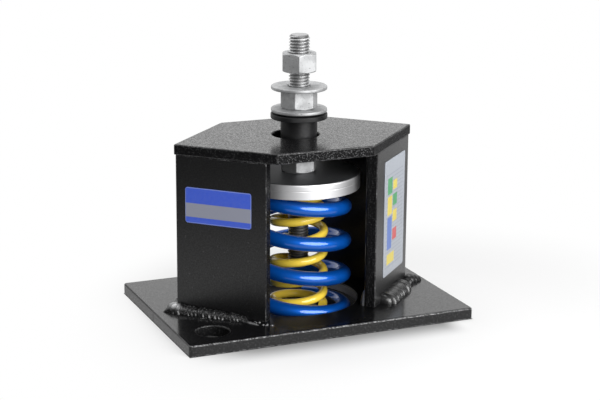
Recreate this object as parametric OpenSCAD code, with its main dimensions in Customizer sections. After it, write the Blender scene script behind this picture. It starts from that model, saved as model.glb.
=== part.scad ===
// Restrained spring vibration isolator.
// A welded steel housing (base plate, two angle sections, six-sided top plate) guides a sprung
// group (spring cap, stud, bush, nuts and washers) that stands on two nested coil springs.
// Millimetres. Z is up, the origin is the centre of the base plate's underside, and X runs along
// the base plate's long side. The housing is open at the front (-Y) and at the back (+Y).

/* [Base plate] */
// Length of the base plate along X
base_l = 172; // [165:1:220]
// Width of the base plate along Y
base_w = 120; // [110:1:160]
// Thickness of the base plate
base_t = 6.5; // [5:0.5:12]
// Radius of the base plate's corners
base_corner_r = 2; // [0.5:0.5:6]
// Diameter of the two anchor holes
anchor_d = 18.5; // [10:0.5:20]
// Distance from the plate's short side to an anchor hole's centre
anchor_edge_x = 20; // [14:0.5:24]
// Distance from the plate's long side to an anchor hole's centre
anchor_edge_y = 19; // [14:0.5:22]
// Diameter of the pocket that holds the inner spring's foot
pocket_d = 40; // [39:0.5:40.5]
// Thickness of the disc that closes the pocket
pocket_disc_t = 1.5; // [1:0.1:2]
// Radial room between the closing disc and its pocket
pocket_disc_gap = 0.05; // [0.02:0.01:0.15]

/* [Housing] */
// Length of an angle section's leg along its outside
leg = 55; // [50:0.5:60]
// Thickness of an angle section's legs
leg_t = 7; // [4:0.5:8]
// Rounding of a leg's outer toe
toe_r = 1.75; // [0.5:0.25:3]
// Rounding inside an angle section's corner
root_r = 6; // [3:0.5:8]
// Height of the angle sections
leg_h = 91; // [88:0.5:120]
// Distance from the housing's axis to an angle section's outer corner
apex_x = 72.5; // [70:0.5:78]
// Thickness of the top plate
top_t = 6; // [4:0.5:10]
// How far the top plate stands out past the legs
top_lip = 0.7; // [0.3:0.1:3]
// Distance from the housing's axis to the top plate's front and back edges
top_half_w = 44.2; // [41:0.2:50]
// Diameter of the top plate's hole
top_hole_d = 27; // [26.5:0.5:32]

/* [Welds and labels] */
// Leg of the weld fillets round the feet of the angle sections
weld_leg = 6; // [3:0.5:7]
// Length of a foot weld along each leg
weld_run = 43; // [25:1:46]
// Leg of the short welds inside the toes
tack_leg = 5; // [3:0.5:6]
// Length of the short welds inside the toes
tack_l = 12; // [6:1:20]
// Leg of the weld fillets under the top plate
top_weld_leg = 4; // [2:0.5:5]
// Length of a top weld along each leg
top_weld_run = 28; // [15:1:32]
// Thickness of the labels
label_t = 0.25; // [0.1:0.05:0.5]
// Length of the left label along its leg
left_label_l = 40; // [30:0.5:42]
// Height of the left label
left_label_h = 20.5; // [15:0.5:30]
// Height of the left label's centre above the base plate's underside
left_label_z = 69.6; // [50:0.2:80]
// Distance from the housing's corner to the left label
left_label_edge = 6; // [3:0.5:8]
// Length of the right label along its leg
right_label_l = 35.5; // [25:0.5:40]
// Height of the right label
right_label_h = 69; // [50:0.5:70]
// Height of the right label's centre above the base plate's underside
right_label_z = 55; // [50:0.2:56]
// Distance from the housing's corner to the right label
right_label_edge = 6.8; // [3:0.5:8]
// Rounding of the labels' corners
label_corner_r = 1.5; // [0.5:0.25:3]

/* [Springs] */
// Outside diameter of the outer spring
outer_d = 62.2; // [60:0.2:66]
// Wire of the outer spring
outer_wire = 8.5; // [7:0.25:9]
// Pitch of the outer spring
outer_pitch = 20.33; // [18:0.1:23]
// Outside diameter of the inner spring
inner_d = 34.9; // [34:0.1:35.2]
// Wire of the inner spring
inner_wire = 5; // [4:0.25:5]
// Pitch of the inner spring
inner_pitch = 12.11; // [10.5:0.1:14]

/* [Sprung group] */
// How far the sprung group stands off the housing's axis along X
float_x = 1.6; // [-1.6:0.1:1.6]
// How far the sprung group stands off the housing's axis along Y
float_y = -1.1; // [-1.1:0.1:1.1]
// Diameter of the spring cap
cap_d = 71; // [68:0.5:74]
// Thickness of the spring cap's rim
cap_t = 8.8; // [6:0.2:10]
// Height of the spring cap's underside above the base plate's underside
cap_z = 73.6; // [72:0.2:76]
// Rounding of the spring cap's upper edge
cap_edge_r = 1.2; // [0.4:0.2:2.5]
// Depth of the step under the cap that centres the outer spring
cap_step_t = 1.8; // [1:0.2:2.4]
// Depth of the spigot that centres the inner spring, below that step
cap_spigot_t = 4; // [2:0.5:6]
// Radial room between a spring and the step or spigot inside it
spring_room = 0.4; // [0.2:0.1:0.8]
// Diameter of the stud
stud_d = 12; // [10:0.5:12]
// Height of the stud's upper end above the base plate's underside
stud_top_z = 161; // [158:0.5:175]
// Height of the stud's lower end above the base plate's underside
stud_low_z = 25; // [20:0.5:40]
// Chamfer at the stud's ends
stud_chamfer = 1; // [0.4:0.1:1.6]
// Radial room between the stud and the pieces on it
stud_room = 0.05; // [0.02:0.01:0.1]
// Width of the nuts across flats
nut_af = 19; // [18:0.5:20]
// Height of the nuts
nut_h = 10.8; // [9:0.2:12]
// Diameter of the washers
washer_d = 32; // [28:0.5:36]
// Thickness of the washers
washer_t = 2; // [1.5:0.1:3]
// Diameter of the washers' holes
washer_hole_d = 13; // [12.5:0.25:14]
// Diameter of the bush's body
bush_d = 21; // [20:0.25:21.5]
// Length of the bush's body below its flange
bush_body_l = 20; // [16:0.2:24]
// Diameter of the bush's flange
bush_flange_d = 32.5; // [31:0.5:36]
// Thickness of the bush's flange
bush_flange_t = 2.8; // [2:0.2:4]
// Diameter of the raised collar on the flange
bush_collar_d = 25; // [22:0.5:28]
// Height of the raised collar on the flange
bush_collar_t = 1; // [0.4:0.2:2]
// Height of the upper nut above the upper washer
upper_nut_gap = 8.2; // [2:0.2:12]
// Turn of the lower nut about the stud
lower_nut_turn = -6; // [-30:1:30]
// Turn of the upper nut about the stud
upper_nut_turn = 7; // [-30:1:30]
// Turn of the lock nut about the stud
lock_nut_turn = 0; // [-30:1:30]

/* [Hidden] */

// Smoothness of round solids
$fn = 96;
// Lets a cut run clear through a face
cut = 1;

// Heights of the housing's levels
top_z = base_t + leg_h;
top_face_z = top_z + top_t;
// The legs stand at 45 degrees to the long side
leg_turn = 45;
// Distance from the axis to the top plate's left and right corners
top_apex_x = apex_x + top_lip * sqrt(2);

// Heights of the stack on the stud, from the spring cap up
cap_top_z = cap_z + cap_t;
lock_nut_z = cap_top_z;
bush_z = lock_nut_z + nut_h;
flange_z = bush_z + bush_body_l;
lower_washer_z = flange_z + bush_flange_t + bush_collar_t;
lower_nut_z = lower_washer_z + washer_t;
upper_washer_z = lower_nut_z + nut_h;
upper_nut_z = upper_washer_z + washer_t + upper_nut_gap;
bore_d = stud_d + 2 * stud_room;

// Springs: share of a turn over which an end closes, and what grinding leaves of the wire there
outer_ease = 0.36;
outer_tip = outer_wire / 4;
inner_ease = 0.8;
inner_tip = inner_wire * 2 / 3;
// Directions in which the springs' lower ends point, about the sprung group's axis
outer_start = -27;
inner_start = -37;
// Facets round the wire and rings along one turn
wire_sides = 12;
rings_per_turn = 22;
// Seats of the springs
outer_seat_z = base_t;
inner_seat_z = pocket_disc_t;
inner_top_z = cap_z - cap_step_t;
outer_r = (outer_d - outer_wire) / 2;
inner_r = (inner_d - inner_wire) / 2;

// Diameters of the step and the spigot under the cap
cap_step_d = outer_d - 2 * outer_wire - 2 * spring_room;
cap_spigot_d = inner_d - 2 * inner_wire - 2 * spring_room;

steel_black = [0.09, 0.09, 0.1];
zinc = [0.72, 0.73, 0.74];

// Moves children to the sprung group's axis
module on_stud_axis(z = 0) {
    translate([float_x, float_y, z]) children();
}

// Places children at a housing corner: X runs along the front leg, Y along the back leg
module at_corner(side) {
    mirror([side > 0 ? 1 : 0, 0, 0])
        translate([-apex_x, 0, 0])
            rotate([0, 0, -leg_turn]) children();
}

// A rectangle with rounded corners, centred
module rounded_plate(length, width, radius) {
    union() {
        square([length - 2 * radius, width], center = true);
        square([length, width - 2 * radius], center = true);
        for (x = [-1, 1], y = [-1, 1])
            translate([x * (length / 2 - radius), y * (width / 2 - radius)]) circle(r = radius);
    }
}

module base_plate() {
    color(steel_black)
        difference() {
            linear_extrude(base_t) rounded_plate(base_l, base_w, base_corner_r);
            for (side = [-1, 1])
                translate([side * (base_l / 2 - anchor_edge_x), side * (base_w / 2 - anchor_edge_y), -cut])
                    cylinder(d = anchor_d, h = base_t + 2 * cut);
            translate([0, 0, -cut]) cylinder(d = pocket_d, h = base_t + 2 * cut);
        }
}

module pocket_disc() {
    color(steel_black) cylinder(d = pocket_d - 2 * pocket_disc_gap, h = pocket_disc_t);
}

// Section of an angle: two legs, a rounded root inside, and toes rounded on their inner edges
module angle_section() {
    difference() {
        union() {
            square([leg, leg_t]);
            square([leg_t, leg]);
            translate([leg_t, leg_t]) difference() {
                square(root_r);
                translate([root_r, root_r]) circle(r = root_r);
            }
        }
        for (flip = [0, 1])
            mirror([flip, -flip])
                translate([leg - toe_r, leg_t - toe_r]) difference() {
                    square(toe_r + cut);
                    circle(r = toe_r);
                }
    }
}

module housing_angle(side) {
    color(steel_black)
        translate([0, 0, base_t]) at_corner(side) linear_extrude(leg_h) angle_section();
}

module left_angle() {
    housing_angle(-1);
}

module right_angle() {
    housing_angle(1);
}

// A square plate on its corner with the front and back corners cut off
module top_plate() {
    edge_x = top_apex_x - top_half_w;
    color(steel_black)
        translate([0, 0, top_z]) difference() {
            linear_extrude(top_t)
                polygon([
                    [-top_apex_x, 0], [-edge_x, -top_half_w], [edge_x, -top_half_w],
                    [top_apex_x, 0], [edge_x, top_half_w], [-edge_x, top_half_w]
                ]);
            translate([0, 0, -cut]) cylinder(d = top_hole_d, h = top_t + 2 * cut);
        }
}

// Section of a weld fillet in the corner of two faces, full and round like a single pass
module fillet_section(size) {
    intersection() {
        circle(r = size);
        square(size);
    }
}

// Foot weld: a fillet along both legs on the outside that wraps the corner, and a short one inside each toe
module foot_weld(side) {
    color(steel_black)
        translate([0, 0, base_t]) at_corner(side) union() {
            rotate([0, 0, 180]) rotate_extrude(angle = 90) fillet_section(weld_leg);
            for (flip = [0, 1])
                mirror([flip, -flip, 0]) {
                    translate([weld_run, 0, 0]) rotate([90, 0, -90]) linear_extrude(weld_run)
                        fillet_section(weld_leg);
                    translate([weld_run, 0, 0]) rotate([0, 0, -90]) rotate_extrude(angle = 90)
                        fillet_section(weld_leg);
                    translate([leg - toe_r - tack_l, leg_t, 0]) rotate([90, 0, 90]) linear_extrude(tack_l)
                        fillet_section(tack_leg);
                }
        }
}

module left_weld() {
    foot_weld(-1);
}

module right_weld() {
    foot_weld(1);
}

// Top weld: a fillet along the inside of both legs, under the top plate, clear of the root
module inner_top_weld(side) {
    start = leg_t + root_r;
    color(steel_black)
        translate([0, 0, top_z]) at_corner(side)
            for (flip = [0, 1])
                mirror([flip, -flip, 0])
                    translate([start, leg_t, 0]) rotate([0, 90, 0]) linear_extrude(top_weld_run)
                        fillet_section(top_weld_leg);
}

module left_top_weld() {
    inner_top_weld(-1);
}

module right_top_weld() {
    inner_top_weld(1);
}

// A label on the outside of a front leg
module leg_label(side, edge, length, height, z) {
    translate([0, 0, z]) at_corner(side)
        translate([edge + length / 2, 0, 0]) rotate([90, 0, 0])
            linear_extrude(label_t) rounded_plate(length, height, label_corner_r);
}

module left_label() {
    color([0.16, 0.25, 0.66]) leg_label(-1, left_label_edge, left_label_l, left_label_h, left_label_z);
}

module right_label() {
    color([0.78, 0.79, 0.83]) leg_label(1, right_label_edge, right_label_l, right_label_h, right_label_z);
}

// Height of a spring's wire above its lower end after t turns, with both ends easing to flat
function rise_at(t, turns, pitch, ease) =
    t < ease ? pitch * t * t / (2 * ease)
    : t > turns - ease ? pitch * (turns - ease) - pitch * pow(turns - t, 2) / (2 * ease)
    : pitch * (t - ease / 2);

// Turns that a spring needs between two seats, measured to the wire's centre at its ends
function turns_between(low, high, pitch, ease) = (high - low) / pitch + ease;

// Angle from the wire's top or bottom to where a ground face cuts it
function ground_angle(depth, radius) =
    acos(max(-1, min(1, -depth / radius)));

// One ring of the wire. The ring starts and ends at its flat, which faces the nearer seat.
function wire_ring(centre_r, wire_r, turn_angle, z, low_seat, high_seat) =
    let (
        low = z - low_seat < high_seat - z,
        depth = low ? z - low_seat : high_seat - z,
        reach = min(180 - 180 / wire_sides, ground_angle(depth, wire_r)),
        up = low ? 1 : -1
    )
    [for (i = [0 : wire_sides - 1])
        let (
            side = -reach + 2 * reach * i / (wire_sides - 1),
            r = centre_r + up * wire_r * sin(side)
        )
        [r * cos(turn_angle), r * sin(turn_angle), z + up * wire_r * cos(side)]];

// Shifts a ring so that matching points follow each other where the flat changes sides
function turned_ring(ring, shift) =
    [for (i = [0 : len(ring) - 1]) ring[(i + shift) % len(ring)]];

// A coil spring swept as one solid, with ends closed and ground flat on their seats
module coil_spring(centre_r, wire, pitch, hand, low_seat, high_seat, ease, tip, start) {
    wire_r = wire / 2;
    low = low_seat + tip - wire_r;
    high = high_seat - tip + wire_r;
    turns = turns_between(low, high, pitch, ease);
    rings = ceil(turns * rings_per_turn);
    path = [for (j = [0 : rings])
        let (
            t = turns * j / rings,
            z = low + rise_at(t, turns, pitch, ease),
            ring = wire_ring(centre_r, wire_r, start + hand * 360 * t, z, low_seat, high_seat)
        )
        z - low_seat < high_seat - z ? ring : turned_ring(ring, wire_sides / 2)];
    points = [for (ring = path) each ring];
    first_cap = [for (i = [0 : wire_sides - 1]) i];
    last_cap = [for (i = [wire_sides - 1 : -1 : 0]) rings * wire_sides + i];
    sides = [for (j = [0 : rings - 1], i = [0 : wire_sides - 1])
        let (
            a = j * wire_sides + i,
            b = j * wire_sides + (i + 1) % wire_sides,
            c = a + wire_sides,
            d = b + wire_sides
        )
        each [[a, c, b], [b, c, d]]];
    faces = concat([first_cap], sides, [last_cap]);
    flipped = [for (face = faces) [for (i = [len(face) - 1 : -1 : 0]) face[i]]];
    polyhedron(points, hand < 0 ? faces : flipped, convexity = 10);
}

module outer_spring() {
    color([0.05, 0.25, 0.7])
        on_stud_axis() coil_spring(outer_r, outer_wire, outer_pitch, -1, outer_seat_z, cap_z,
            outer_ease, outer_tip, outer_start);
}

module inner_spring() {
    color([0.85, 0.68, 0.15])
        on_stud_axis() coil_spring(inner_r, inner_wire, inner_pitch, 1, inner_seat_z, inner_top_z,
            inner_ease, inner_tip, inner_start);
}

module stud() {
    r = stud_d / 2;
    length = stud_top_z - stud_low_z;
    color(zinc)
        on_stud_axis(stud_low_z) rotate_extrude()
            polygon([
                [0, 0], [r - stud_chamfer, 0], [r, stud_chamfer], [r, length - stud_chamfer],
                [r - stud_chamfer, length], [0, length]
            ]);
}

// Turned cap: rim with a rounded upper edge, a step for the outer spring and a spigot for the inner one
module spring_cap() {
    r = cap_d / 2;
    step_z = -cap_step_t;
    spigot_z = step_z - cap_spigot_t;
    color([0.8, 0.81, 0.82])
        on_stud_axis(cap_z) rotate_extrude() union() {
            polygon([
                [bore_d / 2, spigot_z], [cap_spigot_d / 2, spigot_z], [cap_spigot_d / 2, step_z],
                [cap_step_d / 2, step_z], [cap_step_d / 2, 0], [r, 0], [r, cap_t - cap_edge_r],
                [r - cap_edge_r, cap_t - cap_edge_r], [r - cap_edge_r, cap_t], [bore_d / 2, cap_t]
            ]);
            translate([r - cap_edge_r, cap_t - cap_edge_r]) circle(r = cap_edge_r);
        }
}

// Hexagon nut with both faces chamfered at its corners
module hex_nut(turn) {
    corner_r = nut_af / sqrt(3);
    chamfer_h = (corner_r - nut_af / 2) * tan(30);
    rotate([0, 0, turn]) difference() {
        intersection() {
            cylinder(r = corner_r, h = nut_h, $fn = 6);
            rotate_extrude() polygon([
                [0, 0], [nut_af / 2, 0], [corner_r, chamfer_h], [corner_r, nut_h - chamfer_h],
                [nut_af / 2, nut_h], [0, nut_h]
            ]);
        }
        translate([0, 0, -cut]) cylinder(d = bore_d, h = nut_h + 2 * cut);
    }
}

module lock_nut() {
    color(zinc) on_stud_axis(lock_nut_z) hex_nut(lock_nut_turn);
}

module lower_nut() {
    color(zinc) on_stud_axis(lower_nut_z) hex_nut(lower_nut_turn);
}

module upper_nut() {
    color(zinc) on_stud_axis(upper_nut_z) hex_nut(upper_nut_turn);
}

// Flanged rubber bush: it runs through the top plate's hole and its flange stops the travel
module rubber_bush() {
    flange_top = bush_body_l + bush_flange_t;
    color([0.05, 0.05, 0.05])
        on_stud_axis(bush_z) rotate_extrude()
            polygon([
                [bore_d / 2, 0], [bush_d / 2, 0], [bush_d / 2, bush_body_l],
                [bush_flange_d / 2, bush_body_l], [bush_flange_d / 2, flange_top],
                [bush_collar_d / 2, flange_top], [bush_collar_d / 2, flange_top + bush_collar_t],
                [bore_d / 2, flange_top + bush_collar_t]
            ]);
}

module plain_washer(z) {
    color(zinc)
        on_stud_axis(z) difference() {
            cylinder(d = washer_d, h = washer_t);
            translate([0, 0, -cut]) cylinder(d = washer_hole_d, h = washer_t + 2 * cut);
        }
}

module lower_washer() {
    plain_washer(lower_washer_z);
}

module upper_washer() {
    plain_washer(upper_washer_z);
}

base_plate();
pocket_disc();
left_angle();
right_angle();
top_plate();
left_weld();
right_weld();
left_top_weld();
right_top_weld();
left_label();
right_label();
outer_spring();
inner_spring();
stud();
spring_cap();
lock_nut();
rubber_bush();
lower_washer();
lower_nut();
upper_washer();
upper_nut();
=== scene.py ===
"""Looks of a restrained spring vibration isolator.

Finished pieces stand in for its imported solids, in a white studio. Operators make them, one for each group
of like pieces, and main() calls the operators in order.
"""

import math
import random
from collections import namedtuple

import bpy
from mathutils import Matrix, Vector


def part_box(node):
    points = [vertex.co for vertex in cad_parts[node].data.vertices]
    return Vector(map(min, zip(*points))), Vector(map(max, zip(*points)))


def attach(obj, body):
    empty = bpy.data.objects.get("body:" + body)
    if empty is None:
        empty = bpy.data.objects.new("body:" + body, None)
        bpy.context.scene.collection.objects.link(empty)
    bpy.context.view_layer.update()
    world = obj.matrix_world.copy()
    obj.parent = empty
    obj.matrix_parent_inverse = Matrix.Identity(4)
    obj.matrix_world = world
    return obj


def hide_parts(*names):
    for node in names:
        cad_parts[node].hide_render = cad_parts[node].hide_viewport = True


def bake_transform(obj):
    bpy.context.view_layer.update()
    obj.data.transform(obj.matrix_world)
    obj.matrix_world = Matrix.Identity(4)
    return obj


bl_info = {
    "name": "Spring isolator looks",
    "version": (1, 0, 0),
    "blender": (4, 5, 0),
    "location": "View3D > Sidebar > Isolator",
    "description": "Finishes the pieces of a spring vibration isolator and sets its studio",
    "category": "Object",
}

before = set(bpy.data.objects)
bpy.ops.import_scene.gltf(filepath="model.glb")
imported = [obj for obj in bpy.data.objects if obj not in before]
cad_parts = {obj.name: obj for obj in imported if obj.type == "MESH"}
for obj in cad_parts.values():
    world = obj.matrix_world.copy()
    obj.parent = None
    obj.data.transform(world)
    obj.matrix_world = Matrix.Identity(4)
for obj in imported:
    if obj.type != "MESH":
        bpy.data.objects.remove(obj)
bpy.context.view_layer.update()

MM = 0.001
SAME_PLACE = 0.001 * MM
HALF_ROOT = math.sqrt(0.5)
HOUSING = "housing"
SPRUNG = "sprung"
CLAMP = "clamp_nut"

# Levels and places that the pieces share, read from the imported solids
STUD_LOW, STUD_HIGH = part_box("stud")
STUD_AXIS = (STUD_LOW + STUD_HIGH) / 2
STUD_RADIUS = (STUD_HIGH.x - STUD_LOW.x) / 2
BASE_LOW, BASE_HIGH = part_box("base_plate")
BASE_TOP = BASE_HIGH.z
TOP_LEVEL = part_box("top_plate")[0].z
TOP_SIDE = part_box("top_plate")[1].y
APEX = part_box("right_angle")[1].x
POCKET_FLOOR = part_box("pocket_disc")[1].z
SPRING_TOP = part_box("outer_spring")[1].z
INNER_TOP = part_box("inner_spring")[1].z


def length(name, description, default):
    """A length in metres that a user may change."""
    return bpy.props.FloatProperty(
        name=name, description=description, default=default, unit="LENGTH", precision=5
    )


def turn(name, description, default):
    """An angle that a user may change, given in degrees."""
    return bpy.props.FloatProperty(
        name=name, description=description, default=math.radians(default), subtype="ANGLE"
    )


def share(name, description, default):
    """A plain number that a user may change."""
    return bpy.props.FloatProperty(name=name, description=description, default=default)


def colour(name, description, default):
    """A linear colour that a user may change."""
    return bpy.props.FloatVectorProperty(
        name=name, description=description, default=default, subtype="COLOR", size=3, min=0, max=1
    )


class IsolatorSizes(bpy.types.PropertyGroup):
    """Sizes of the finished pieces."""

    plate_edge: length("Plate edge", "Rounding of the plates' edges", 0.7 * MM)
    leg_edge: length("Leg edge", "Rounding of the angle sections' edges", 0.6 * MM)
    pocket_radius: length("Pocket radius", "Radius of the pocket that both springs stand in", 36.5 * MM)
    metal_edge: length("Metal edge", "Rounding of the edges of the nuts and the pocket floor", 0.35 * MM)
    leg_length: length("Leg length", "Length of an angle section's leg", 55 * MM)
    leg_wall: length("Leg wall", "Thickness of an angle section's leg", 7 * MM)
    bead_pitch: length("Bead pitch", "Distance between two ripples of a weld bead", 1.7 * MM)
    bead_run: length("Bead run", "Length of a weld bead along each leg", 43 * MM)
    bead_leg: length("Bead leg", "Reach of a weld bead from its corner", 6.3 * MM)
    tack_run: length("Tack run", "Length of the short weld inside a toe", 12 * MM)
    tack_leg: length("Tack leg", "Reach of the short weld inside a toe", 4.6 * MM)
    outer_wire: length("Outer wire", "Wire of the outer spring", 8.5 * MM)
    outer_outside: length("Outer diameter", "Outside diameter of the outer spring", 62.2 * MM)
    outer_pitch: length("Outer pitch", "Pitch of the outer spring", 20.33 * MM)
    outer_start: turn("Outer start", "Direction of the outer spring's lower end", 61.5)
    outer_ease: share("Outer ease", "Share of a turn over which the outer spring's ends close", 0.36)
    inner_wire: length("Inner wire", "Wire of the inner spring", 5 * MM)
    inner_outside: length("Inner diameter", "Outside diameter of the inner spring", 34.9 * MM)
    inner_pitch: length("Inner pitch", "Pitch of the inner spring", 12.11 * MM)
    inner_start: turn("Inner start", "Direction of the inner spring's lower end", -37)
    inner_ease: share("Inner ease", "Share of a turn over which the inner spring's ends close", 0.8)
    thread_pitch: length("Thread pitch", "Pitch of the stud's thread", 1.75 * MM)
    stud_chamfer: length("Stud chamfer", "Chamfer at the stud's ends", 1.3 * MM)
    nut_flats: length("Nut flats", "Width of the nuts across flats", 19 * MM)
    nut_shoulder: length("Nut shoulder", "How far a nut's round face stays inside its flats", 0.25 * MM)
    nut_sink: length("Nut sink", "Chamfer at the ends of a nut's bore", 0.9 * MM)
    washer_room: length("Washer room", "Gap between a washer and the stud", 0.5 * MM)
    washer_edge: length("Washer edge", "Rounding of the washers' edges", 0.6 * MM)
    bush_body: length("Bush body", "Radius of the bush's body", 10.5 * MM)
    bush_collar: length("Bush collar", "Radius of the bush's collar", 12.5 * MM)
    collar_depth: length("Collar depth", "Height of the bush's collar", 1 * MM)
    flange_depth: length("Flange depth", "Height of the bush's flange and collar together", 3.8 * MM)
    bush_edge: length("Bush edge", "Rounding of the bush's edges", 0.45 * MM)
    spring_room: length("Spring room", "Gap between the cap and the springs that it centres", 0.4 * MM)
    groove_level: length("Groove level", "Height of the fine groove in the cap's rim", 4.8 * MM)
    groove_depth: length("Groove depth", "Depth of the fine groove in the cap's rim", 0.25 * MM)
    cap_round: length("Cap round", "Rounding of the cap's upper edge", 1.2 * MM)
    cap_edge: length("Cap edge", "Rounding of the cap's other edges", 0.15 * MM)


class IsolatorColours(bpy.types.PropertyGroup):
    """Colours of the finishes."""

    coat: colour("Powder coat", "Black powder coat", (0.003, 0.003, 0.0033))
    fleck: colour("Coat fleck", "Light flecks in the powder coat", (0.04, 0.04, 0.041))
    # bare is also mixed in for painted highlights on cut edges and weld beads, and for the pocket wall
    # painted pale
    bare: colour("Bare steel", "Steel that shows at worn edges", (0.6, 0.6, 0.61))
    blue: colour("Blue enamel", "Enamel of the outer spring", (0.001, 0.085, 0.42))
    yellow: colour("Yellow enamel", "Enamel of the inner spring", (0.74, 0.54, 0.06))
    zinc: colour("Zinc", "Bright zinc plate", (0.5, 0.505, 0.51))
    alloy: colour("Cap alloy", "Turned alloy of the spring cap", (0.69, 0.69, 0.7))
    rubber: colour("Rubber", "Black rubber of the bush", (0.008, 0.008, 0.0085))
    film_blue: colour("Blue film", "Field of the left label", (0.022, 0.07, 0.48))
    film_grey: colour("Grey film", "Band of the left label", (0.21, 0.22, 0.27))
    film_pale: colour("Pale film", "Ground of the right label", (0.26, 0.28, 0.31))
    floor: colour("Floor", "Pale studio floor", (0.8, 0.8, 0.8))


class Wire:
    """A shader value that takes Python arithmetic and adds its Math nodes as it goes."""

    def __init__(self, finish, socket):
        self.finish = finish
        self.socket = socket

    def _math(self, operation, first, second):
        return self.finish.node("ShaderNodeMath", {"operation": operation}, {0: first, 1: second})

    def __add__(self, other):
        return self._math("ADD", self, other)

    __radd__ = __add__

    def __sub__(self, other):
        return self._math("SUBTRACT", self, other)

    def __rsub__(self, other):
        return self._math("SUBTRACT", other, self)

    def __mul__(self, other):
        return self._math("MULTIPLY", self, other)

    __rmul__ = __mul__

    def __truediv__(self, other):
        return self._math("DIVIDE", self, other)

    def __pow__(self, other):
        return self._math("POWER", self, other)

    def __gt__(self, other):
        return self._math("GREATER_THAN", self, other)

    def __lt__(self, other):
        return self._math("LESS_THAN", self, other)

    def __abs__(self):
        return self._math("ABSOLUTE", self, 0.0)


class Finish:
    """A node tree being built, for a material or for the world."""

    def __init__(self, owner):
        owner.use_nodes = True
        self.owner = owner
        self.tree = owner.node_tree
        self.shader = self.tree.nodes.get("Principled BSDF")

    def plug(self, socket, value):
        """Links a wire to a socket, or sets a plain value on it."""
        if isinstance(value, Wire):
            self.tree.links.new(value.socket, socket)
        elif socket.type == "RGBA" and len(value) == 3:
            socket.default_value = (*value, 1)
        else:
            socket.default_value = value

    def node(self, kind, settings=None, inputs=None, output=0):
        """Adds a node: its settings first, then the values or links of its sockets."""
        node = self.tree.nodes.new(kind)
        for key, value in (settings or {}).items():
            setattr(node, key, value)
        for key, value in (inputs or {}).items():
            self.plug(node.inputs[key], value)
        return Wire(self, node.outputs[output])

    def set(self, **sockets):
        """Sets sockets of the shader; an underscore stands for a space."""
        for key, value in sockets.items():
            self.plug(self.shader.inputs[key.replace("_", " ")], value)

    def place(self):
        """Object coordinates of the piece."""
        return self.node("ShaderNodeTexCoord", output="Object")

    def axes(self):
        """The piece's X, Y and Z as three values."""
        split = self.node("ShaderNodeSeparateXYZ", None, {0: self.place()}).socket.node
        return [Wire(self, socket) for socket in split.outputs]

    def noise(self, scale, detail=2.0, roughness=0.5, stretch=(1, 1, 1)):
        """Noise over the piece, in repeats per metre, stretched along its axes."""
        at = self.node("ShaderNodeMapping", None, {"Vector": self.place(), "Scale": stretch})
        inputs = {"Vector": at, "Scale": scale, "Detail": detail, "Roughness": roughness}
        return self.node("ShaderNodeTexNoise", None, inputs, "Fac")

    def mask(self, value, low, high):
        """A smooth 0 to 1 as value goes from low to high."""
        settings = {"interpolation_type": "SMOOTHSTEP"}
        return self.node("ShaderNodeMapRange", settings, {0: value, 1: low, 2: high})

    def mix(self, factor, first, second):
        """A colour between two colours."""
        return self.node("ShaderNodeMix", {"data_type": "RGBA"}, {0: factor, 6: first, 7: second}, 2)

    def bump(self, height, distance, strength=1.0):
        """A normal raised by height times distance."""
        inputs = {"Height": height, "Distance": distance, "Strength": strength}
        return self.node("ShaderNodeBump", None, inputs, "Normal")


def new_finish(name):
    """A fresh material under its own name."""
    return Finish(bpy.data.materials.new(name))


def between(value, low, high):
    """1 where value lies between two limits."""
    return (value > low) * (value < high)


def radius_at(x, y):
    """Distance of a place from an upright axis."""
    return (x ** 2 + y ** 2) ** 0.5


def on_top_plate(finish, z):
    """1 on the top plate and 0 on all that lies lower."""
    return finish.mask(z, TOP_LEVEL - 0.5 * MM, TOP_LEVEL)


def powder_coat(name, colours, blur, gloss):
    """Black powder coat: a dark ground under a grainy skin, which is thinner round the springs."""
    finish = new_finish(name)
    grain = finish.noise(1500, 2, 0.6)
    cloud = finish.noise(45, 3, 0.5)
    speck = finish.mask(finish.noise(1300, 2, 0.8), 0.4, 0.6)
    x, y, z = finish.axes()
    high = on_top_plate(finish, z)
    thin_to, full_from = 50 * MM, 64 * MM
    on_base = z < BASE_TOP + 0.1 * MM
    thin = (1 - finish.mask(radius_at(x, y), thin_to, full_from)) * on_base
    fleck = finish.mask(finish.noise(650, 1), 0.7, 0.8)
    tone = finish.mix(fleck * 0.6, colours.coat, colours.fleck)
    finish.set(Base_Color=tone, Roughness=0.42 + cloud * 0.12, Specular_IOR_Level=0.05)
    skin = 0.76 + speck * 0.24 + high * (speck * 0.46 - 0.3)
    finish.set(Coat_Weight=skin * (1 - thin * 0.6), Coat_Roughness=blur, Coat_IOR=gloss)
    finish.set(Normal=finish.bump(grain, 0.05 * MM, 0.8))
    return finish.owner


def worn_edge(colours):
    """Powder coat rubbed through to steel in small spots, most along the base plate's long sides."""
    finish = new_finish("worn_edge")
    _, y, _ = finish.axes()
    spot = finish.mask(finish.noise(1100, 2, 0.7), 0.44, 0.6)
    patch = finish.mask(finish.noise(110, 2), 0.38, 0.6)
    rubbed = finish.mask(abs(y), BASE_HIGH.y - 4 * MM, BASE_HIGH.y - 2 * MM)
    bare = spot * (0.02 + patch * 0.11 + rubbed * 0.22)
    finish.set(Base_Color=finish.mix(bare, colours.coat, colours.bare))
    finish.set(Roughness=0.42 - bare * 0.1, Metallic=bare * 0.6, Specular_IOR_Level=0.3)
    finish.set(Normal=finish.bump(finish.noise(1300, 2), 0.06 * MM))
    return finish.owner


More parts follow.
